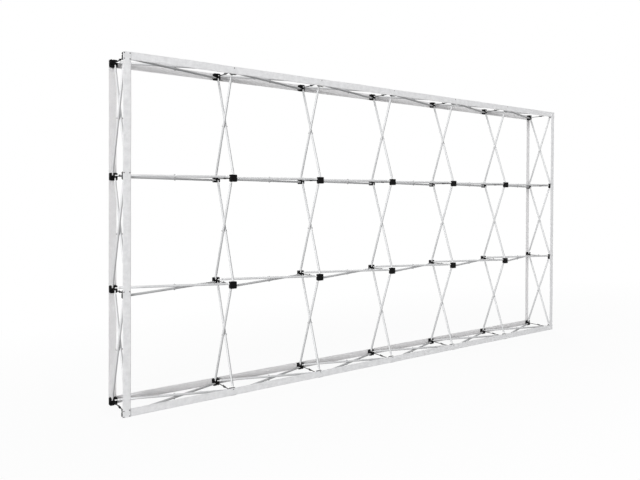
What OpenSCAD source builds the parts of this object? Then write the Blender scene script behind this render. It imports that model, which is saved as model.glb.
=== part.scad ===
/* [Frame] */
// Distance between neighbouring hub centres, across and up
bay = 740; // [650:5:800]
// Depth over the outer faces of the front and back hubs
frame_d = 294; // [280:1:320]

/* [Hubs] */
// Side of a square hub
hub_w = 50; // [49:1:56]
// Depth of a hub from its outer face to its slotted face
hub_d = 26; // [25:0.5:30]
// Corner radius of a hub
hub_r = 8; // [5:0.5:10]
// Chamfer round the outer face of a hub
hub_chamfer = 1.5; // [0.5:0.25:2.5]
// Side of the shallow recess in the outer face of a hub
recess_w = 30; // [20:1:32]
// Depth of that recess
recess_t = 0.8; // [0.4:0.1:1.5]

/* [Scissor tubes] */
// Outside diameter of a tube
tube_d = 16; // [15:0.5:17]
// Wall of a tube
tube_wall = 1; // [0.8:0.1:1.5]
// Clear gap between the two tubes of a pair where they cross
cross_gap = 1; // [0.8:0.1:2]
// Gap between the collar of an end plug and the side of its hub
neck_gap = 2; // [1:0.5:6]

/* [Tube end plugs] */
// Thickness of the flat tongue that enters a hub slot
tongue_t = 6.5; // [6:0.25:7]
// Width of the tongue, and of its rounded eye
tongue_w = 11; // [10:0.5:12]
// Length of the round spigot inside the tube
spigot_l = 24; // [12:1:40]
// Length of the collar that the tube butts against
collar_l = 4; // [2:0.5:8]

/* [Pins and rivets] */
// Diameter of a hub pin
pin_d = 4; // [3:0.25:4.5]
// Length of a hub pin
pin_l = 16; // [14.5:0.5:17]
// Distance from the hub centre line to a tube pin
pin_out = 13; // [12.5:0.25:14]
// Distance from the slotted face of a hub to its pins
pin_in = 3.5; // [3.5:0.25:6]
// Shank diameter of the rivet where two tubes cross
rivet_d = 5; // [3:0.25:6]
// Head diameter of that rivet
rivet_head_d = 12; // [9:0.5:14]
// Head height of that rivet
rivet_head_h = 2.5; // [1.5:0.25:4]
// Flat top of any rivet's head, as a share of its diameter
crown = 0.6; // [0.4:0.05:0.9]

/* [Lock arms] */
// Thickness of a lock arm
arm_t = 4; // [3.5:0.25:5]
// Height of a lock arm at its hub
arm_root_h = 9; // [8:0.5:10]
// Length over which a lock arm narrows outside its hub
arm_neck = 14; // [8:1:30]
// Height of a lock arm past that neck
arm_tip_h = 5; // [4:0.5:6]
// Diameter of the cross peg that the hook drops over
peg_d = 4; // [3.5:0.25:5]
// Outside radius of the hook head
hook_r = 6; // [5.5:0.25:8]
// How far the hook's lips reach below the peg's centre
hook_lip = 4; // [3:0.25:4.5]
// Thickness of each cheek that carries the peg
cheek_t = 2.5; // [2:0.5:4]
// Wall of a cheek round the peg
cheek_wall = 2.5; // [2:0.5:4]
// Gap from the hook head to the block that joins the cheeks
fork_gap = 4; // [3:0.5:6]
// Length of that block
fork_block = 10; // [6:0.5:14]
// Height of the thumb tab over the arm's centre line
tab_h = 10; // [9:0.5:16]
// Length of the thumb tab
tab_l = 5; // [4:0.5:8]

/* [Edge tapes] */
// Width of an edge tape
tape_w = 50; // [46:1:50]
// Thickness of an edge tape
tape_t = 1.5; // [1:0.1:2.5]
// How far the level tapes lie above the hub centre lines
tape_lift = 2; // [0.5:0.5:3]
// Gap from the edge of a level tape to where an upright one steps over it
lap_gap = 1; // [0.5:0.5:4]
// Length over which an upright tape steps onto a level one
tape_step = 14; // [8:1:30]
// Shank diameter of a tape rivet
tape_rivet_d = 3.5; // [2.5:0.25:4.5]
// Head diameter of a tape rivet
tape_rivet_head = 7; // [6:0.5:9]
// Head height of a tape rivet
tape_rivet_h = 1.4; // [0.8:0.1:2.5]
// Depth of a tape rivet's hole in a hub
tape_rivet_l = 5; // [3:0.25:6]
// Distance from the hub centre lines to the tape rivets
tape_rivet_out = 18; // [17:0.25:18]

/* [Clearances] */
// Gap on each side of a tongue or an arm in its slot
slot_gap = 0.5; // [0.3:0.05:0.6]
// Radial clearance of a pin or a rivet in its bore
fit_gap = 0.05; // [0.03:0.01:0.1]
// Gap between a rivet's head or collar and the tubes
touch_gap = 0.05; // [0.03:0.01:0.2]
// Gap between the hook and its peg
hook_gap = 0.6; // [0.5:0.05:0.8]

/* [Hidden] */
$fn = 48;
eps = 1;

// Six bays across and three up: seven columns and four rows of hub pairs
cols = 7;
rows = 4;

// Hub centres
function col_x(i) = (i - (cols - 1) / 2) * bay;
function row_z(j) = hub_w / 2 + j * bay;

// Tube pivots: the run is along the bay, the rise is through the depth
pivot_y = frame_d / 2 - hub_d + pin_in;
run = bay - 2 * pin_out;
tube_angle = atan2(2 * pivot_y, run);
pivot_l = norm([run, 2 * pivot_y]);
tube_shift = (tube_d + cross_gap) / 2;
tube_bore = tube_d - 2 * tube_wall;
// The collar of a plug just clears the side of the hub at the tube's slant
plug_collar = (hub_w / 2 - pin_out + tube_d / 2 * sin(tube_angle)) / cos(tube_angle) + neck_gap;
tube_start = plug_collar + collar_l;

// Hub slots
tongue_slot = tongue_t + 2 * slot_gap;
arm_slot = arm_t + 2 * slot_gap;
slot_depth = pin_in + tongue_w / 2 + slot_gap;
slot_root = pin_out - tongue_w / 2 - slot_gap;
arm_slot_low = arm_root_h / 2 + slot_gap;
// Wall between the arm's slot and the bores of the tube pins
pin_wall = 0.4;
pin_start = arm_slot / 2 + pin_wall;

// Lock arm: lifts this far before it would meet the tube above it
lift_angle = 45;
arm_slot_high = pin_in * tan(lift_angle) + arm_root_h / 2 / cos(lift_angle) + slot_gap;
cheek_in = arm_t / 2 + slot_gap;
fork_root = hook_r + fork_gap;
cheek_h = peg_d + 2 * cheek_wall;
tab_back = hook_r - 1;

tape_high = row_z(rows - 1) + tape_lift + tape_w / 2;
tape_low = row_z(0) + tape_lift - tape_w / 2;

module rounded_square(w, r) {
    square([w - 2 * r, w], center = true);
    square([w, w - 2 * r], center = true);
    for (sx = [-1, 1], sy = [-1, 1])
        translate([sx * (w / 2 - r), sy * (w / 2 - r)]) circle(r);
}

// Extrudes a drawing of the XZ plane along +Y
module along_y(h) {
    rotate([90, 0, 0]) mirror([0, 0, 1]) linear_extrude(h) children();
}

// Extrudes a drawing of the YZ plane along X, centred on it
module across_x(t) {
    rotate([90, 0, 90]) translate([0, 0, -t / 2]) linear_extrude(t) children();
}

// Places a child at a hub: origin on the outer face, +Y into the frame
module at_front(i, j) {
    translate([col_x(i), -frame_d / 2, row_z(j)]) children();
}

module at_back(i, j) {
    translate([col_x(i), frame_d / 2, row_z(j)]) rotate([0, 0, 180]) children();
}

// Turns a child from the slot on the right to slot k, anticlockwise
module at_slot(k) {
    rotate([0, -90 * k, 0]) children();
}

// Slots of a hub that hold a tube; a back hub is seen turned half round
function used_slots(i, j, back) = [
    if (back ? i > 0 : i < cols - 1) 0,
    if (j < rows - 1) 1,
    if (back ? i < cols - 1 : i > 0) 2,
    if (j > 0) 3
];

// Where the edge tapes are riveted to a hub, from its centre
function is_side(i) = i == 0 || i == cols - 1;
function is_end(j) = j == 0 || j == rows - 1;
function tape_rivets_at(i, j) =
    is_side(i) && is_end(j) ? [for (sx = [-1, 1], sz = [-1, 1]) tape_rivet_out * [sx, sz]] :
    is_side(i) ? [for (sx = [-1, 1]) tape_rivet_out * [sx, 1]] :
    is_end(j) ? [[0, tape_rivet_out]] :
    [];
// Layers of tape under a rivet's head
function tape_layers(i, j) = is_side(i) && is_end(j) ? 2 : 1;

module outer_block() {
    flat = hub_w / 2 - hub_chamfer;
    intersection() {
        along_y(hub_d) rounded_square(hub_w, hub_r);
        side_profile = [
            [-flat, 0], [flat, 0], [hub_w / 2, hub_chamfer],
            [hub_w / 2, hub_d], [-hub_w / 2, hub_d], [-hub_w / 2, hub_chamfer]
        ];
        translate([0, 0, -hub_w]) linear_extrude(2 * hub_w) polygon(side_profile);
        rotate([0, 90, 0]) translate([0, 0, -hub_w]) linear_extrude(2 * hub_w) polygon(side_profile);
    }
}

// One moulded hub: four tongue slots set off centre like a pinwheel, and a slot
// in the middle for the lock arm, which reaches up to slot_top
module hub(slot_top, spots) {
    difference() {
        outer_block();
        translate([0, -eps, 0]) along_y(recess_t + eps) rounded_square(recess_w, hub_r / 2);
        for (k = [0 : 3]) at_slot(k) {
            translate([slot_root, hub_d - slot_depth, -tube_shift - tongue_slot / 2])
                cube([hub_w, slot_depth + eps, tongue_slot]);
            translate([pin_out, hub_d - pin_in, -pin_start - pin_l])
                cylinder(d = pin_d + 2 * fit_gap, h = pin_l);
        }
        translate([-arm_slot / 2, hub_d - pin_in - arm_slot_low, -arm_slot_low])
            cube([arm_slot, pin_in + arm_slot_low + eps, arm_slot_low + slot_top]);
        translate([-pin_l / 2, hub_d - pin_in, 0]) rotate([0, 90, 0])
            cylinder(d = pin_d + 2 * fit_gap, h = pin_l);
        for (p = spots) translate([p[0], -eps, p[1]]) rotate([-90, 0, 0])
            cylinder(d = tape_rivet_d + 2 * fit_gap, h = tape_rivet_l + eps);
    }
}

module front_hubs(j) {
    color("#101012")
        for (i = [0 : cols - 1]) at_front(i, j) hub(arm_slot_low, tape_rivets_at(i, j));
}

module back_hubs(j) {
    color("#101012")
        for (i = [0 : cols - 1]) at_back(i, j)
            hub(arm_slot_high, [for (p = tape_rivets_at(i, j)) [-p[0], p[1]]]);
}

// One tube, lying along X about its middle, with the cross hole for its rivet
module tube() {
    half = pivot_l / 2 - tube_start;
    difference() {
        rotate([0, 90, 0]) cylinder(d = tube_d, h = 2 * half, center = true);
        rotate([0, 90, 0]) cylinder(d = tube_bore, h = 2 * half + 2 * eps, center = true);
        cylinder(d = rivet_d + 2 * fit_gap, h = 2 * tube_d, center = true);
    }
}

// One end plug: its eye is at the origin and its tube runs off along +X
module end_plug() {
    difference() {
        union() {
            cylinder(d = tongue_w, h = tongue_t, center = true);
            translate([0, -tongue_w / 2, -tongue_t / 2]) cube([plug_collar + eps, tongue_w, tongue_t]);
            translate([plug_collar, 0, 0]) rotate([0, 90, 0]) cylinder(d = tube_d, h = collar_l);
            translate([plug_collar + eps, 0, 0]) rotate([0, 90, 0])
                cylinder(d = tube_bore - 2 * fit_gap, h = collar_l + spigot_l - eps);
        }
        cylinder(d = pin_d + 2 * fit_gap, h = tongue_t + 2 * eps, center = true);
    }
}

// Lays a child along both tubes of a pair: one above the other, crossing
module crossed() {
    for (s = [-1, 1]) translate([0, 0, s * tube_shift]) rotate([0, 0, -s * tube_angle]) children();
}

module both_ends() {
    for (a = [0, 180]) rotate([0, 0, a]) translate([-pivot_l / 2, 0, 0]) children();
}

// Middle of the level pair to the right of hub (i, j)
module level_pair(i, j) {
    translate([col_x(i) + bay / 2, 0, row_z(j)]) children();
}

// Middle of the upright pair above hub (i, j)
module upright_pair(i, j) {
    translate([col_x(i), 0, row_z(j) + bay / 2]) rotate([0, -90, 0]) children();
}

module every_pair() {
    for (j = [0 : rows - 1], i = [0 : cols - 2]) level_pair(i, j) children();
    for (i = [0 : cols - 1], j = [0 : rows - 2]) upright_pair(i, j) children();
}

module level_tubes(j) {
    color("#c9cbce") for (i = [0 : cols - 2]) level_pair(i, j) crossed() tube();
}

module upright_tubes(i) {
    color("#c9cbce") for (j = [0 : rows - 2]) upright_pair(i, j) crossed() tube();
}

module tube_end_plugs() {
    color("#b4b6b9") every_pair() crossed() both_ends() end_plug();
}

module hub_pin() {
    cylinder(d = pin_d, h = pin_l);
}

// Pins of one hub: one in each slot that holds a tube, and the lock arm's
module pins_of(slots) {
    for (k = slots) at_slot(k) translate([pin_out, hub_d - pin_in, -pin_start - pin_l]) hub_pin();
    translate([-pin_l / 2, hub_d - pin_in, 0]) rotate([0, 90, 0]) hub_pin();
}

module hub_pins() {
    color("#d6d7d9") for (j = [0 : rows - 1], i = [0 : cols - 1]) {
        at_front(i, j) pins_of(used_slots(i, j, false));
        at_back(i, j) pins_of(used_slots(i, j, true));
    }
}

// One shouldered rivet: its collar keeps the two tubes apart
module scissor_rivet() {
    head_z = tube_shift + tube_d / 2 + touch_gap;
    cylinder(d = rivet_d, h = 2 * head_z + rivet_head_h, center = true);
    cylinder(d = rivet_head_d, h = cross_gap - 2 * touch_gap, center = true);
    for (s = [0, 1]) mirror([0, 0, s]) translate([0, 0, head_z]) {
        cylinder(d = rivet_head_d, h = rivet_head_h / 2);
        translate([0, 0, rivet_head_h / 2])
            cylinder(d1 = rivet_head_d, d2 = rivet_head_d * crown, h = rivet_head_h / 2);
    }
}

module scissor_rivets() {
    color("#d6d7d9") every_pair() scissor_rivet();
}

// Fixed half of a lock, from the front hub's pin to the peg at mid depth
module lock_catch() {
    across_x(arm_t) difference() {
        union() {
            translate([-pivot_y, 0]) circle(arm_root_h / 2);
            polygon([
                [-pivot_y, -arm_root_h / 2],
                [-pivot_y + pin_in, -arm_root_h / 2],
                [-pivot_y + pin_in + arm_neck, -arm_tip_h / 2],
                [-fork_root, -arm_tip_h / 2],
                [-fork_root, arm_tip_h / 2],
                [-pivot_y + pin_in + arm_neck, arm_tip_h / 2],
                [-pivot_y + pin_in, arm_root_h / 2],
                [-pivot_y, arm_root_h / 2]
            ]);
        }
        translate([-pivot_y, 0]) circle(d = pin_d + 2 * fit_gap);
    }
    difference() {
        across_x(2 * (cheek_in + cheek_t)) union() {
            circle(d = cheek_h);
            translate([-fork_root - fork_block, -cheek_h / 2]) square([fork_root + fork_block, cheek_h]);
        }
        across_x(2 * cheek_in) translate([-fork_root, -cheek_h]) square([fork_root + cheek_h, 2 * cheek_h]);
    }
    across_x(2 * cheek_in + cheek_t) circle(d = peg_d);
}

module lock_catches() {
    color("#101012") for (j = [0 : rows - 1], i = [0 : cols - 1])
        translate([col_x(i), 0, row_z(j)]) lock_catch();
}

// Moving half of a lock: it turns on the back hub's pin and hooks over the peg
module hook_arm(i, j) {
    notch_w = peg_d + 2 * hook_gap;
    color("#17171a") translate([col_x(i), 0, row_z(j)]) across_x(arm_t) difference() {
        union() {
            translate([pivot_y, 0]) circle(arm_root_h / 2);
            polygon([
                [pivot_y, -arm_root_h / 2],
                [pivot_y, arm_root_h / 2],
                [pivot_y - pin_in, arm_root_h / 2],
                [pivot_y - pin_in - arm_neck, arm_tip_h / 2],
                [0, arm_tip_h / 2],
                [0, -arm_tip_h / 2],
                [pivot_y - pin_in - arm_neck, -arm_tip_h / 2],
                [pivot_y - pin_in, -arm_root_h / 2]
            ]);
            circle(hook_r);
            translate([tab_back, 0]) square([tab_l, tab_h - tab_l / 2]);
            translate([tab_back + tab_l / 2, tab_h - tab_l / 2]) circle(d = tab_l);
        }
        translate([pivot_y, 0]) circle(d = pin_d + 2 * fit_gap);
        circle(d = notch_w);
        translate([-notch_w / 2, -2 * hook_r]) square([notch_w, 2 * hook_r]);
        translate([-2 * hook_r, -2 * hook_r - hook_lip]) square([4 * hook_r, 2 * hook_r]);
    }
}

// Places a child on a hub face that looks out of the frame, +Y pointing outwards
module on_face(x, z, side) {
    translate([x, side * frame_d / 2, z]) rotate([0, 0, side < 0 ? 180 : 0]) children();
}

module rivet_holes(side) {
    for (j = [0 : rows - 1], i = [0 : cols - 1], p = tape_rivets_at(i, j))
        on_face(col_x(i) + p[0], row_z(j) + p[1], side) translate([0, -eps, 0]) rotate([-90, 0, 0])
            cylinder(d = tape_rivet_d + 2 * fit_gap, h = 2 * tape_t + 2 * eps);
}

// A level tape lies straight across the hub faces of row j
module level_tape(j, side) {
    long = (cols - 1) * bay + hub_w;
    color(side < 0 ? "#dcdcdf" : "#d2cfcf") difference() {
        on_face(0, row_z(j) + tape_lift, side) translate([-long / 2, 0, -tape_w / 2])
            cube([long, tape_t, tape_w]);
        rivet_holes(side);
    }
}

// An upright tape lies on the hub faces and steps over the level tapes at its ends
module upright_tape(i, side) {
    lap = tape_w + lap_gap;
    back = [
        [tape_t, tape_low],
        [tape_t, tape_low + lap],
        [0, tape_low + lap + tape_step],
        [0, tape_high - lap - tape_step],
        [tape_t, tape_high - lap],
        [tape_t, tape_high]
    ];
    face = [for (k = [len(back) - 1 : -1 : 0]) back[k] + [tape_t, 0]];
    color(side < 0 ? "#dcdcdf" : "#d2cfcf") difference() {
        on_face(col_x(i), 0, side) across_x(tape_w) polygon(concat(back, face));
        rivet_holes(side);
    }
}

module tape_rivet(layers) {
    rotate([-90, 0, 0]) {
        translate([0, 0, -tape_rivet_l + touch_gap])
            cylinder(d = tape_rivet_d, h = tape_rivet_l + layers * tape_t + tape_rivet_h / 2);
        translate([0, 0, layers * tape_t]) cylinder(d = tape_rivet_head, h = tape_rivet_h / 2);
        translate([0, 0, layers * tape_t + tape_rivet_h / 2])
            cylinder(d1 = tape_rivet_head, d2 = tape_rivet_head * crown, h = tape_rivet_h / 2);
    }
}

module tape_rivets() {
    color("#18181a") for (side = [-1, 1], j = [0 : rows - 1], i = [0 : cols - 1])
        for (p = tape_rivets_at(i, j))
            on_face(col_x(i) + p[0], row_z(j) + p[1], side) tape_rivet(tape_layers(i, j));
}

for (j = [0 : rows - 1]) {
    front_hubs(j);
    back_hubs(j);
    level_tubes(j);
}
for (i = [0 : cols - 1]) {
    upright_tubes(i);
}
tube_end_plugs();
hub_pins();
scissor_rivets();
lock_catches();
tape_rivets();
level_tape(rows - 1, -1);  // front_tape_top
level_tape(0, -1);  // front_tape_bottom
upright_tape(0, -1);  // front_tape_left
upright_tape(cols - 1, -1);  // front_tape_right
level_tape(rows - 1, 1);  // back_tape_top
level_tape(0, 1);  // back_tape_bottom
upright_tape(0, 1);  // back_tape_left
upright_tape(cols - 1, 1);  // back_tape_right
for (j = [0 : rows - 1], i = [0 : cols - 1]) {
    hook_arm(i, j);
}
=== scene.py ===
import math

import bmesh
import bpy
import numpy as np
from mathutils import Matrix


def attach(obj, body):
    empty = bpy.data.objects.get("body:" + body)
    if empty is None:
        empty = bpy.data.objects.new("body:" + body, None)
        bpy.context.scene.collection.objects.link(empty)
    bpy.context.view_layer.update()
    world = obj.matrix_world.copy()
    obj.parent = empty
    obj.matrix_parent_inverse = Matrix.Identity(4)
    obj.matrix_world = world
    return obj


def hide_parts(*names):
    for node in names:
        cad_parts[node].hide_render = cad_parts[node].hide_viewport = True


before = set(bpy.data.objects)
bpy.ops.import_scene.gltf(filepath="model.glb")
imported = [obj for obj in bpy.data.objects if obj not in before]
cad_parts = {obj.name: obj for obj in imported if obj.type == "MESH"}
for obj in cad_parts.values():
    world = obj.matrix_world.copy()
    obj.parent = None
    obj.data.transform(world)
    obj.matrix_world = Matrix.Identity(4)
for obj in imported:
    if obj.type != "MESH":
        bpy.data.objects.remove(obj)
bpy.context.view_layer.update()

# ---------------------------------------------------------------------------
# The view: from the front left, at about chest height. The lens keeps the
# uprights upright, so the framing comes from a small shift and not from tilt.
# ---------------------------------------------------------------------------
# Where the eye stands, in metres, and how it turns, in radians
EYE = (-3.4173, -3.8949, 1.3762)
TURN_RIGHT, TILT_UP, ROLL = 0.61824, -0.01044, 0.00451
# The image's width, the focal length and the shift down, in pixels of the image
IMAGE_PX, FOCAL_PX, DROP_PX = 640.0, 605.0, 36.5
SENSOR_MM = 36.0


def placed(name, data):
    """A new object in the scene."""
    thing = bpy.data.objects.new(name, data)
    bpy.context.collection.objects.link(thing)
    return thing


camera_data = bpy.data.cameras.new("view")
camera_data.sensor_width = SENSOR_MM
camera_data.lens = FOCAL_PX / IMAGE_PX * SENSOR_MM
camera_data.shift_y = -DROP_PX / IMAGE_PX
camera_data.clip_end = 200.0
camera = placed("view", camera_data)
camera.matrix_world = (
    Matrix.Translation(EYE)
    @ Matrix.Rotation(-TURN_RIGHT, 4, "Z")
    @ Matrix.Rotation(math.pi / 2 + TILT_UP, 4, "X")
    @ Matrix.Rotation(ROLL, 4, "Z")
)
bpy.context.scene.camera = camera
bpy.context.scene.view_settings.view_transform = "Standard"


# ---------------------------------------------------------------------------
# The studio: a plain white sweep lit by a big softbox far off to the left,
# a weak one high in front and one behind. None of it is part of the frame.
# ---------------------------------------------------------------------------
WHITE = (1.0, 1.0, 1.0, 1.0)
AIM = (0.0, 0.0, 1.0)
SWEEP_HALF = 40.0


def worked_out(nodes, links, operation, *values):
    """One step of arithmetic on sockets and plain numbers."""
    step = nodes.new("ShaderNodeMath")
    step.operation = operation
    for slot, value in zip(step.inputs, values):
        if isinstance(value, float):
            slot.default_value = value
        else:
            links.new(value, slot)
    return step.outputs[0]


def mixed(nodes, links, share, first, second):
    """The second shader by the given share, and the first by the rest."""
    either = nodes.new("ShaderNodeMixShader")
    links.new(share, either.inputs["Fac"])
    links.new(first.outputs[0], either.inputs[1])
    links.new(second.outputs[0], either.inputs[2])
    return either.outputs[0]


def white_where_seen(nodes, links):
    """1 for rays that show the background itself: straight, mirrored or through glass."""
    path = nodes.new("ShaderNodeLightPath").outputs
    seen = worked_out(nodes, links, "MAXIMUM", path["Is Camera Ray"], path["Is Glossy Ray"])
    return worked_out(nodes, links, "MAXIMUM", seen, path["Is Transmission Ray"])


world = bpy.data.worlds.new("studio")
world.use_nodes = True
bpy.context.scene.world = world
nodes, links = world.node_tree.nodes, world.node_tree.links
nodes.clear()
fill = nodes.new("ShaderNodeBackground")
fill.inputs["Color"].default_value = (0.97, 0.98, 1.0, 1.0)
fill.inputs["Strength"].default_value = 0.28
white = nodes.new("ShaderNodeBackground")
white.inputs["Color"].default_value = WHITE
white.inputs["Strength"].default_value = 1.0
surround = mixed(nodes, links, white_where_seen(nodes, links), fill, white)
links.new(surround, nodes.new("ShaderNodeOutputWorld").inputs["Surface"])

for name, width, height, watts, place in (
    ("softbox_above", 14.0, 6.0, 450.0, (-1.0, -7.0, 13.0)),
    ("softbox_left", 38.0, 17.0, 24500.0, (-38.0, -21.0, 7.3)),
    ("softbox_behind", 16.0, 10.0, 3600.0, (16.0, 20.0, 6.0)),
):
    lamp = bpy.data.lights.new(name, "AREA")
    lamp.shape = "RECTANGLE"
    lamp.size = width
    lamp.size_y = height
    lamp.energy = watts
    softbox = placed(name, lamp)
    away = np.array(place) - np.array(AIM)
    softbox.rotation_euler = (
        math.atan2(math.hypot(away[0], away[1]), away[2]),
        0.0,
        math.atan2(away[1], away[0]) + math.pi / 2,
    )
    softbox.location = place

floor_mesh = bpy.data.meshes.new("floor")
corners = [(a * SWEEP_HALF, b * SWEEP_HALF, 0.0) for a, b in ((-1, -1), (1, -1), (1, 1), (-1, 1))]
floor_mesh.from_pydata(corners, [], [(0, 1, 2, 3)])
floor = placed("floor", floor_mesh)
paint = bpy.data.materials.new("white_sweep")
paint.use_nodes = True
nodes, links = paint.node_tree.nodes, paint.node_tree.links
nodes.clear()
seen = white_where_seen(nodes, links)
tone = nodes.new("ShaderNodeMix")
tone.data_type = "RGBA"
tone.inputs["A"].default_value = (0.25, 0.25, 0.252, 1.0)
tone.inputs["B"].default_value = (0.97, 0.97, 0.97, 1.0)
links.new(seen, tone.inputs["Factor"])
matt = nodes.new("ShaderNodeBsdfDiffuse")
links.new(tone.outputs["Result"], matt.inputs["Color"])
lifted = nodes.new("ShaderNodeEmission")
lifted.inputs["Color"].default_value = WHITE
lifted.inputs["Strength"].default_value = 1.0
# The sweep keeps its shadow near the frame and fades to plain white further off
oval = nodes.new("ShaderNodeMapping")
oval.inputs["Scale"].default_value = (0.4, 1.0, 1.0)
links.new(nodes.new("ShaderNodeTexCoord").outputs["Object"], oval.inputs["Vector"])
distance = nodes.new("ShaderNodeVectorMath")
distance.operation = "LENGTH"
links.new(oval.outputs["Vector"], distance.inputs[0])
share = nodes.new("ShaderNodeMapRange")
share.inputs["From Min"].default_value = 0.9
share.inputs["From Max"].default_value = 3.0
share.inputs["To Min"].default_value = 0.91
share.inputs["To Max"].default_value = 1.0
links.new(distance.outputs["Value"], share.inputs["Value"])
lift = worked_out(nodes, links, "MULTIPLY", seen, share.outputs["Result"])
sweep = mixed(nodes, links, lift, matt, lifted)
links.new(sweep, nodes.new("ShaderNodeOutputMaterial").inputs["Surface"])
floor_mesh.materials.append(paint)


# ---------------------------------------------------------------------------
# Hubs: 28 in front and 28 behind, each a 50 mm square block moulded in black
# glass-filled nylon, with four slots for tube ends set off centre like a
# pinwheel. The mould leaves a fine spark-eroded skin and softened edges.
# ---------------------------------------------------------------------------
COLUMNS, ROWS = 7, 4
HUB_HALF = 0.025
BLACK_NYLON = (0.003, 0.003, 0.0033)
SCUFFED_NYLON = (0.011, 0.011, 0.012)
WELD = 1e-6


def noise(nodes, links, scale, detail, rough, vector=None):
    """A noise pattern of the given waves a metre, on the piece's own place or on a vector."""
    pattern = nodes.new("ShaderNodeTexNoise")
    pattern.inputs["Scale"].default_value = scale
    pattern.inputs["Detail"].default_value = detail
    pattern.inputs["Roughness"].default_value = rough
    if vector is None:
        vector = nodes.new("ShaderNodeTexCoord").outputs["Object"]
    links.new(vector, pattern.inputs["Vector"])
    return pattern.outputs["Fac"]


def ramp(nodes, links, value, stops):
    """Colours read off a value: stops are (position, colour or level of grey) from low to high."""
    scale = nodes.new("ShaderNodeValToRGB")
    while len(scale.color_ramp.elements) < len(stops):
        scale.color_ramp.elements.new(0.5)
    for element, (position, colour) in zip(scale.color_ramp.elements, stops):
        element.position = position
        red_green_blue = [colour] * 3 if isinstance(colour, float) else colour
        element.color = (*red_green_blue, 1.0)
    links.new(value, scale.inputs["Fac"])
    return scale.outputs["Color"]


def between(nodes, links, pattern, low, high):
    """Two colours or levels, blended over the range where a noise pattern mostly lies."""
    return ramp(nodes, links, pattern, [(0.3, low), (0.7, high)])


def bumped(nodes, links, height, depth, strength, sunk=False):
    """A normal pushed out, or sunk where the pattern is high, by the given depth in metres."""
    bump = nodes.new("ShaderNodeBump")
    bump.invert = sunk
    bump.inputs["Strength"].default_value = strength
    bump.inputs["Distance"].default_value = depth
    links.new(height, bump.inputs["Height"])
    return bump.outputs["Normal"]


def finish_called(name, metallic=0.0, specular=0.5):
    """A new finish: its material, node tree parts and Principled shader's sockets."""
    finish = bpy.data.materials.new(name)
    finish.use_nodes = True
    nodes, links = finish.node_tree.nodes, finish.node_tree.links
    shader = nodes["Principled BSDF"].inputs
    shader["Metallic"].default_value = metallic
    shader["Specular IOR Level"].default_value = specular
    return finish, nodes, links, shader


def black_nylon(name, skin_scale):
    """Black moulding: scuffs lighten it in patches, and the eroded skin breaks up its shine."""
    finish, nodes, links, shader = finish_called(name, specular=0.08)
    scuffs = noise(nodes, links, scale=55.0, detail=6.0, rough=0.65)
    stops = [(0.45, BLACK_NYLON), (0.72, BLACK_NYLON), (0.80, SCUFFED_NYLON)]
    links.new(ramp(nodes, links, scuffs, stops), shader["Base Color"])
    skin = noise(nodes, links, skin_scale, detail=4.0, rough=0.6)
    links.new(between(nodes, links, skin, 0.48, 0.66), shader["Roughness"])
    links.new(bumped(nodes, links, skin, depth=0.00015, strength=0.35), shader["Normal"])
    return finish


def smooth(mesh):
    mesh.polygons.foreach_set("use_smooth", np.ones(len(mesh.polygons), bool))


def softened(node, edge):
    """A merged copy of a CAD node whose sharp edges are rounded by a Bevel of the given width."""
    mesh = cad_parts[node].data.copy()
    shape = bmesh.new()
    shape.from_mesh(mesh)
    bmesh.ops.remove_doubles(shape, verts=shape.verts, dist=WELD)
    flat = math.radians(1.0)
    bmesh.ops.dissolve_limit(shape, angle_limit=flat, verts=shape.verts, edges=shape.edges)
    shape.to_mesh(mesh)
    shape.free()
    mesh.materials.clear()
    smooth(mesh)
    piece = placed(f"{node}_soft", mesh)
    rounding = piece.modifiers.new("rounded_edges", "BEVEL")
    rounding.width = edge
    rounding.segments = 2
    rounding.limit_method = "ANGLE"
    rounding.angle_limit = math.radians(35.0)
    rounding.harden_normals = True
    return piece


hub_nylon = black_nylon("black_hub_nylon", 1400.0)
for row in range(1, ROWS + 1):
    for side in ("front", "back"):
        hubs = softened(f"{side}_hubs_row_{row}", edge=0.0006)
        hubs.data.materials.append(hub_nylon)
        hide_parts(f"{side}_hubs_row_{row}")
        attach(hubs, "frame")


# ---------------------------------------------------------------------------
# Scissor tubes: 90 lengths of 16 mm drawn aluminium tube, satin anodised, two
# to each crossing. Each end is rolled into a groove that grips its plug.
# ---------------------------------------------------------------------------
BAY = 0.740
PIVOT_Y, PIVOT_OUT = 0.1245, 0.013
PIVOT_RUN = BAY - 2 * PIVOT_OUT
SLANT = math.atan2(2 * PIVOT_Y, PIVOT_RUN)
PIVOT_LENGTH = math.hypot(2 * PIVOT_Y, PIVOT_RUN)
TUBE_R, TUBE_BORE_R = 0.008, 0.007
TUBE_SHIFT = 0.0085
NECK_GAP, COLLAR_LENGTH = 0.002, 0.004
COLLAR_AT = (HUB_HALF - PIVOT_OUT + TUBE_R * math.sin(SLANT)) / math.cos(SLANT) + NECK_GAP
TUBE_HALF = PIVOT_LENGTH / 2 - COLLAR_AT - COLLAR_LENGTH
NEARLY_UPRIGHT = 0.9
PATTERN_STEP = 0.37


def column_x(i):
    return (i - (COLUMNS - 1) / 2) * BAY


def row_z(j):
    return HUB_HALF + j * BAY


def mesh_piece(name, points, faces, uvs, join=0.0):
    """A piece from points (n, 3) and quads (m, 4); uvs (m, 4, 2) go to its corners."""
    mesh = bpy.data.meshes.new(name)
    mesh.from_pydata(points.tolist(), [], faces.tolist())
    mesh.uv_layers.new(name="along").data.foreach_set("uv", uvs.reshape(-1))
    if join:
        shape = bmesh.new()
        shape.from_mesh(mesh)
        bmesh.ops.remove_doubles(shape, verts=shape.verts, dist=join)
        shape.to_mesh(mesh)
        shape.free()
    smooth(mesh)
    return placed(name, mesh)


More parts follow.
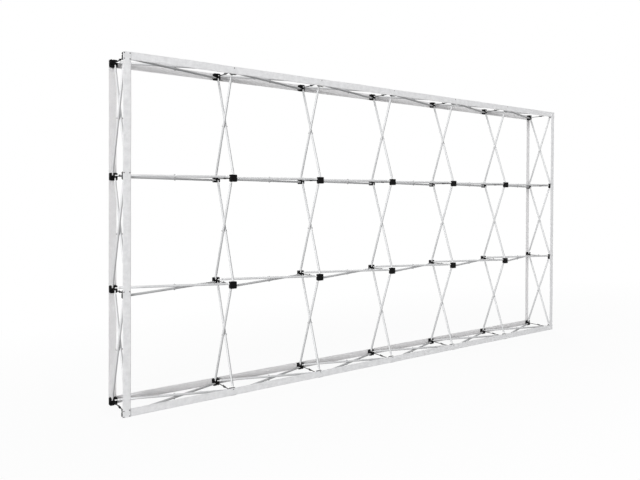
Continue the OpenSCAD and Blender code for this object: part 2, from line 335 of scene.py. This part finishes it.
def turned(name, centres, axes, profile, sides, closed, join=0.0):
    """Each piece is a profile (along, radius) turned about an axis through its centre:
    centre + along * axis + radius * (cos turn * across + sin turn * up).
    The pattern of each starts PATTERN_STEP metres further on, so no two look alike."""
    centres, axes = np.asarray(centres, float), np.asarray(axes, float)
    along, radius = np.asarray(profile, float).T
    upright = np.abs(axes[:, 2:3]) > NEARLY_UPRIGHT
    across = np.cross(np.where(upright, [[1.0, 0.0, 0.0]], [[0.0, 0.0, 1.0]]), axes)
    across /= np.linalg.norm(across, axis=1, keepdims=True)
    up = np.cross(axes, across)
    turn = (np.arange(sides) * 2 * np.pi / sides)[None, :, None]
    ring = np.cos(turn) * across[:, None] + np.sin(turn) * up[:, None]
    points = (
        centres[:, None, None]
        + along[None, :, None, None] * axes[:, None, None]
        + radius[None, :, None, None] * ring[:, None]
    )
    count, steps = len(centres), len(along)
    spans = steps if closed else steps - 1
    first = np.arange(count)[:, None, None] * steps * sides
    k = np.arange(spans)[None, :, None]
    m = np.arange(sides)[None, None, :]
    here, there = first + k * sides, first + (k + 1) % steps * sides
    nm = (m + 1) % sides
    faces = np.stack([here + m, here + nm, there + nm, there + m], -1).reshape(-1, 4)
    lengths = np.broadcast_to(along[None, :, None], (count, steps, sides))
    starts = np.broadcast_to(np.arange(count)[:, None, None] * PATTERN_STEP, (count, steps, sides))
    v = (lengths + starts).reshape(-1)[faces]
    u = np.stack([m, m + 1, m + 1, m], -1) / sides
    u = np.broadcast_to(u, (count, spans, sides, 4)).reshape(-1, 4)
    return mesh_piece(name, points.reshape(-1, 3), faces, np.stack([u, v], -1), join)


def tube_profile():
    """Outside from end to end with a rolled groove near each, then back through the bore."""
    groove, lip, flat, depth = 0.012, 0.0022, 0.0008, 0.0007
    near_end = [
        (0.0, 0.0004),
        (0.0005, 0.0),
        (groove - lip, 0.0),
        (groove - flat, depth),
        (groove + flat, depth),
        (groove + lip, 0.0),
    ]
    outside = [(offset - TUBE_HALF, TUBE_R - sink) for offset, sink in near_end]
    outside += [(-along, radius) for along, radius in reversed(outside)]
    return outside + [(TUBE_HALF, TUBE_BORE_R), (-TUBE_HALF, TUBE_BORE_R)]


satin, nodes, links, shader = finish_called("satin_anodised_tube", metallic=0.24, specular=0.25)
coordinates = nodes.new("ShaderNodeUVMap")
coordinates.uv_map = "along"
stretch = nodes.new("ShaderNodeMapping")
stretch.inputs["Scale"].default_value = (60.0, 0.5, 1.0)
links.new(coordinates.outputs["UV"], stretch.inputs["Vector"])
drawn = noise(nodes, links, 1.0, detail=3.0, rough=0.6, vector=stretch.outputs["Vector"])
greys = between(nodes, links, drawn, (0.52, 0.523, 0.528), (0.60, 0.603, 0.608))
links.new(greys, shader["Base Color"])
links.new(between(nodes, links, drawn, 0.54, 0.64), shader["Roughness"])
links.new(bumped(nodes, links, drawn, depth=0.00002, strength=0.2), shader["Normal"])


def crossing(i, j, upright):
    """Centres and directions of the two tubes that cross right of, or above, hub (i, j)."""
    for s in (-1, 1):
        through = -s * math.sin(SLANT)
        if upright:
            centre = (column_x(i) - s * TUBE_SHIFT, 0.0, row_z(j) + BAY / 2)
            yield centre, (0.0, through, math.cos(SLANT))
        else:
            centre = (column_x(i) + BAY / 2, 0.0, row_z(j) + s * TUBE_SHIFT)
            yield centre, (math.cos(SLANT), through, 0.0)


tube_groups = [
    (f"level_tubes_row_{j + 1}", [t for i in range(COLUMNS - 1) for t in crossing(i, j, False)])
    for j in range(ROWS)
] + [
    (f"upright_tubes_column_{i + 1}", [t for j in range(ROWS - 1) for t in crossing(i, j, True)])
    for i in range(COLUMNS)
]
for node, tubes in tube_groups:
    centres, axes = zip(*tubes)
    piece = turned(f"{node}_drawn", centres, axes, tube_profile(), sides=24, closed=True)
    piece.data.materials.append(satin)
    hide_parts(node)
    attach(piece, "frame")


# ---------------------------------------------------------------------------
# Tube end plugs: 180 light grey nylon mouldings, pressed into the tubes, each
# with a flat eye that turns on a pin in a hub slot.
# ---------------------------------------------------------------------------
plug_nylon, nodes, links, shader = finish_called("grey_plug_nylon")
cloud = noise(nodes, links, scale=120.0, detail=4.0, rough=0.6)
links.new(between(nodes, links, cloud, 0.70, 0.80), shader["Base Color"])
grain = noise(nodes, links, scale=1800.0, detail=3.0, rough=0.6)
links.new(between(nodes, links, grain, 0.36, 0.50), shader["Roughness"])
links.new(bumped(nodes, links, grain, depth=0.0001, strength=0.3), shader["Normal"])


def refinish(node, finish):
    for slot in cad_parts[node].material_slots:
        slot.material = finish


refinish("tube_end_plugs", plug_nylon)


# ---------------------------------------------------------------------------
# Pins and scissor rivets: zinc on steel, bright on the pins and dulled by
# forming on the rivets. A pin holds each eye in its slot, and a high-headed
# rivet with a spacing collar joins the two tubes of a crossing.
# ---------------------------------------------------------------------------
def zinc(name, metallic, dull, bright):
    """Zinc plate whose bloom shades it in patches between two tones."""
    finish, nodes, links, shader = finish_called(name, metallic)
    bloom = noise(nodes, links, scale=260.0, detail=5.0, rough=0.6)
    links.new(between(nodes, links, bloom, dull, bright), shader["Base Color"])
    links.new(between(nodes, links, bloom, 0.22, 0.36), shader["Roughness"])
    grain = noise(nodes, links, scale=2500.0, detail=3.0, rough=0.6)
    links.new(bumped(nodes, links, grain, depth=0.00005, strength=0.3), shader["Normal"])
    return finish


refinish("hub_pins", zinc("bright_zinc", 1.0, (0.60, 0.60, 0.59), (0.74, 0.74, 0.73)))


def rivet_profile():
    """Outline from the middle of one domed head, along the shank and its collar, to the other."""
    clearance, head_r, rim_r, shank_r = 0.00005, 0.006, 0.0058, 0.0025
    collar_half, collar_edge = 0.00045, 0.0003
    seat = TUBE_SHIFT + TUBE_R + clearance
    rises = np.linspace(math.pi / 2, 0.25, num=6)
    half = [(seat + head_r * math.sin(rise), head_r * math.cos(rise)) for rise in rises]
    half += [(seat + 0.0004, head_r), (seat, rim_r), (seat, shank_r)]
    half += [(collar_half, shank_r), (collar_half, rim_r), (collar_edge, head_r)]
    return half + [(-along, radius) for along, radius in reversed(half)]


crossings = [
    ((column_x(i) + BAY / 2, 0.0, row_z(j)), (0.0, 0.0, 1.0))
    for j in range(ROWS)
    for i in range(COLUMNS - 1)
] + [
    ((column_x(i), 0.0, row_z(j) + BAY / 2), (1.0, 0.0, 0.0))
    for i in range(COLUMNS)
    for j in range(ROWS - 1)
]
centres, axes = zip(*crossings)
rivets = turned(
    "scissor_rivets_domed", centres, axes, rivet_profile(), sides=24, closed=False, join=WELD
)
rivets.data.materials.append(zinc("dulled_zinc", 0.5, (0.40, 0.40, 0.40), (0.50, 0.50, 0.495)))
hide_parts("scissor_rivets")
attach(rivets, "frame")


# ---------------------------------------------------------------------------
# Locks: through each pair of hubs runs a black nylon arm in two halves. The
# front half ends in a fork with a cross peg, and the back half lifts by its
# thumb tab and hooks over that peg.
# ---------------------------------------------------------------------------
lock_nylon = black_nylon("black_lock_nylon", 1700.0)
catches = softened("lock_catches", edge=0.0005)
catches.data.materials.append(lock_nylon)
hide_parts("lock_catches")
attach(catches, "frame")
for column in range(1, COLUMNS + 1):
    for row in range(1, ROWS + 1):
        place = f"column_{column}_row_{row}"
        hook = softened(f"hook_arm_{place}", edge=0.0005)
        hook.data.materials.append(lock_nylon)
        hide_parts(f"hook_arm_{place}")
        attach(hook, f"hook_{place}")


# ---------------------------------------------------------------------------
# Edge tapes: 50 mm loop tape woven in light grey nylon, riveted to the outer
# faces of the edge hubs, front and back. A brushed pile lies between two bare
# woven selvedges, and the tape is slightly slack between its rivets.
# ---------------------------------------------------------------------------
TAPE_W, TAPE_T = 0.050, 0.0015
FACE_Y = 0.147
TAPE_LIFT = 0.002
LAP = TAPE_W + 0.001
LAP_END = LAP + 0.014
PILE_MIDDLE, PILE_HALF = 0.0262, 0.0214


def loop_tape(name, light, dark):
    """Loop tape: crushed loops under 1.5 mm apart between two plain woven selvedges, shaded in
    patches and darkened by painted shade where the loops and threads sink. The pattern is laid out
    in metres, u along the tape and v round its section."""
    finish, nodes, links, shader = finish_called(name, specular=0.25)
    shader["Sheen Weight"].default_value = 0.25
    shader["Sheen Roughness"].default_value = 0.5
    shader["Roughness"].default_value = 0.85
    layout = nodes.new("ShaderNodeUVMap")
    layout.uv_map = "along"
    place = layout.outputs["UV"]
    loops = nodes.new("ShaderNodeTexVoronoi")
    loops.voronoi_dimensions = "2D"
    loops.feature = "SMOOTH_F1"
    loops.inputs["Scale"].default_value = 700.0
    loops.inputs["Smoothness"].default_value = 0.35
    loops.inputs["Randomness"].default_value = 0.7
    links.new(place, loops.inputs["Vector"])
    threads = nodes.new("ShaderNodeTexWave")
    threads.bands_direction = "DIAGONAL"
    threads.inputs["Scale"].default_value = 300.0
    threads.inputs["Distortion"].default_value = 1.5
    links.new(place, threads.inputs["Vector"])
    round_section = nodes.new("ShaderNodeSeparateXYZ")
    links.new(place, round_section.inputs["Vector"])
    on_pile = worked_out(
        nodes, links, "COMPARE", round_section.outputs["Y"], PILE_MIDDLE, PILE_HALF
    )
    weave = nodes.new("ShaderNodeMix")
    links.new(on_pile, weave.inputs["Factor"])
    links.new(threads.outputs["Fac"], weave.inputs["A"])
    links.new(loops.outputs["Distance"], weave.inputs["B"])
    height = weave.outputs["Result"]
    fuzz = noise(nodes, links, scale=1500.0, detail=3.0, rough=0.6, vector=place)
    fuzzy = worked_out(nodes, links, "MULTIPLY_ADD", fuzz, 0.6, height)
    relief = bumped(nodes, links, fuzzy, depth=0.0006, strength=0.9, sunk=True)
    links.new(relief, shader["Normal"])
    patches = noise(nodes, links, scale=28.0, detail=4.0, rough=0.6, vector=place)
    # Random patches, less painted shade: the colour darkens in the sunken crevices between loops
    # and threads
    patches_and_crevice_shade = worked_out(nodes, links, "MULTIPLY_ADD", height, -0.5, patches)
    links.new(ramp(nodes, links, patches_and_crevice_shade, [(0.12, dark), (0.47, light)]), shader["Base Color"])
    return finish


def tape_section():
    """Outline of the tape across its width, (across, out): thin selvedges and a raised pile."""
    half, selvedge, slope, thin = TAPE_W / 2, 0.0025, 0.0008, 0.0008
    flat = half * 0.4
    return np.array([
        (-half, 0.0), (-half, thin), (-half + selvedge, thin), (-half + selvedge + slope, TAPE_T),
        (-flat, TAPE_T), (flat, TAPE_T),
        (half - selvedge - slope, TAPE_T), (half - selvedge, thin), (half, thin), (half, 0.0),
        (flat, 0.0), (-flat, 0.0),
    ])


def strip(name, along, lift, slip, place):
    """The section carried along the tape: a point is place(along, across + slip, out + lift)."""
    section = tape_section()
    steps, ring = len(along), len(section)
    s = np.repeat(along[:, None], ring, 1)
    a = section[None, :, 0] + slip[:, None]
    o = section[None, :, 1] + lift[:, None]
    points = place(s, a, o).reshape(-1, 3)
    k = np.arange(steps - 1)[:, None] * ring
    m = np.arange(ring)[None, :]
    nm = (m + 1) % ring
    faces = np.stack([k + m, k + ring + m, k + ring + nm, k + nm], -1).reshape(-1, 4)
    lengths = np.concatenate([[0.0], np.cumsum(np.hypot(np.diff(along), np.diff(lift)))])
    u = np.repeat(lengths[:, None], ring, 1).reshape(-1)[faces]
    sides = np.linalg.norm(np.roll(section, -1, axis=0) - section, axis=1)
    start = np.tile(np.cumsum(sides) - sides, steps - 1)
    end = start + np.tile(sides, steps - 1)
    v = np.stack([start, start, end, end], -1)
    piece = mesh_piece(name, points, faces, np.stack([u, v], -1))
    shape = bmesh.new()
    shape.from_mesh(piece.data)
    shape.verts.ensure_lookup_table()
    for first in (0, (steps - 1) * ring):
        shape.faces.new([shape.verts[first + n] for n in range(ring)])
    bmesh.ops.recalc_face_normals(shape, faces=shape.faces)
    shape.to_mesh(piece.data)
    shape.free()
    smooth(piece.data)
    piece.data.set_sharp_from_angle(angle=math.radians(40.0))
    return piece


def slack(along, hubs, depth, seed):
    """Bellies out between hubs as share * depth * sin^2, where the share is 0.4 to 1 and is
    scattered over the bays by the fraction of a large sine."""
    bay = np.clip(np.searchsorted(hubs, along) - 1, 0, len(hubs) - 2)
    part = np.clip((along - hubs[bay]) / (hubs[bay + 1] - hubs[bay]), 0.0, 1.0)
    scatter = np.modf(np.sin((bay + seed) * 12.9898) * 43758.5453)[0]
    share = 0.4 + 0.6 * scatter ** 2
    return depth * share * np.sin(np.pi * part) ** 2


columns = np.array([column_x(i) for i in range(COLUMNS)])
rows = np.array([row_z(j) for j in range(ROWS)])
# Both sides are the same tape. The back copy is painted a little lighter to make up for the shade
# on the back tapes' inner faces, and it is slightly pinker
tape_finishes = {
    "front": loop_tape("front_loop_tape", (0.90, 0.90, 0.905), (0.77, 0.77, 0.777)),
    "back": loop_tape("back_loop_tape_painted_lighter", (0.91, 0.90, 0.903), (0.80, 0.79, 0.793)),
}
for side, out in (("front", -1.0), ("back", 1.0)):
    for n, (edge, z) in enumerate((("top", rows[-1]), ("bottom", rows[0]))):
        along = np.linspace(columns[0] - HUB_HALF, columns[-1] + HUB_HALF, num=600)
        lift = slack(along, columns, depth=0.0015, seed=3.0 * n + out)
        slip = slack(along, columns, depth=0.0015, seed=5.0 * n + out)

        def place(s, a, o):
            return np.stack([s, out * (FACE_Y + o), z + TAPE_LIFT + a], -1)

        tape = strip(f"{side}_tape_{edge}_woven", along, lift, slip, place)
        tape.data.materials.append(tape_finishes[side])
        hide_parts(f"{side}_tape_{edge}")
        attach(tape, "frame")
    # The upright tapes lie on the hubs and step over the level ones at both ends
    for n, (edge, x) in enumerate((("left", columns[0]), ("right", columns[-1]))):
        low, high = rows[0] + TAPE_LIFT - TAPE_W / 2, rows[-1] + TAPE_LIFT + TAPE_W / 2
        along = np.linspace(low, high, num=320)
        laps = [low + LAP, low + LAP_END, high - LAP_END, high - LAP]
        step = np.interp(along, laps, [1.0, 0.0, 0.0, 1.0])
        belly = slack(along, rows, depth=0.0015, seed=7.0 * n + out)
        lift = TAPE_T * step + belly * (1 - step)
        slip = slack(along, rows, depth=0.001, seed=9.0 * n + out) * (1 - step)

        def place(s, a, o):
            return np.stack([x + a, out * (FACE_Y + o), s], -1)

        tape = strip(f"{side}_tape_{edge}_woven", along, lift, slip, place)
        tape.data.materials.append(tape_finishes[side])
        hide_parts(f"{side}_tape_{edge}")
        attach(tape, "frame")


# ---------------------------------------------------------------------------
# Tape rivets: 68 small black nylon push rivets with low domed heads, four at
# each corner hub, two at each side hub and one at each hub along the edges.
# ---------------------------------------------------------------------------
RIVET_OUT = 0.018
PUSH_HEAD_R, PUSH_HEAD_H, PUSH_SHANK_R, PUSH_DEPTH = 0.0035, 0.0014, 0.00175, 0.0045
# By whether a hub is on a left or right side, and on a top or bottom edge
PLACES_ON_HUB = {
    (True, True): [(-1, -1), (-1, 1), (1, -1), (1, 1)],
    (True, False): [(-1, 1), (1, 1)],
    (False, True): [(0, 1)],
    (False, False): [],
}
spots = []
for side in (-1.0, 1.0):
    for j in range(ROWS):
        for i in range(COLUMNS):
            on_side, on_edge = i in (0, COLUMNS - 1), j in (0, ROWS - 1)
            layers = 2 if on_side and on_edge else 1
            for a, b in PLACES_ON_HUB[on_side, on_edge]:
                x, z = column_x(i) + a * RIVET_OUT, row_z(j) + b * RIVET_OUT
                spots.append(((x, side * (FACE_Y + layers * TAPE_T), z), (0.0, side, 0.0)))
centres, axes = zip(*spots)
rises = np.linspace(math.pi / 2, 0.2, num=6)
push_profile = [(PUSH_HEAD_H * math.sin(rise), PUSH_HEAD_R * math.cos(rise)) for rise in rises]
push_profile += [(0.0, PUSH_HEAD_R), (0.0, PUSH_SHANK_R), (-PUSH_DEPTH, PUSH_SHANK_R)]
push_profile += [(-PUSH_DEPTH, 0.0)]
push = turned("tape_rivets_domed", centres, axes, push_profile, sides=20, closed=False, join=WELD)
push.data.materials.append(black_nylon("black_rivet_nylon", 2200.0))
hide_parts("tape_rivets")
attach(push, "frame")
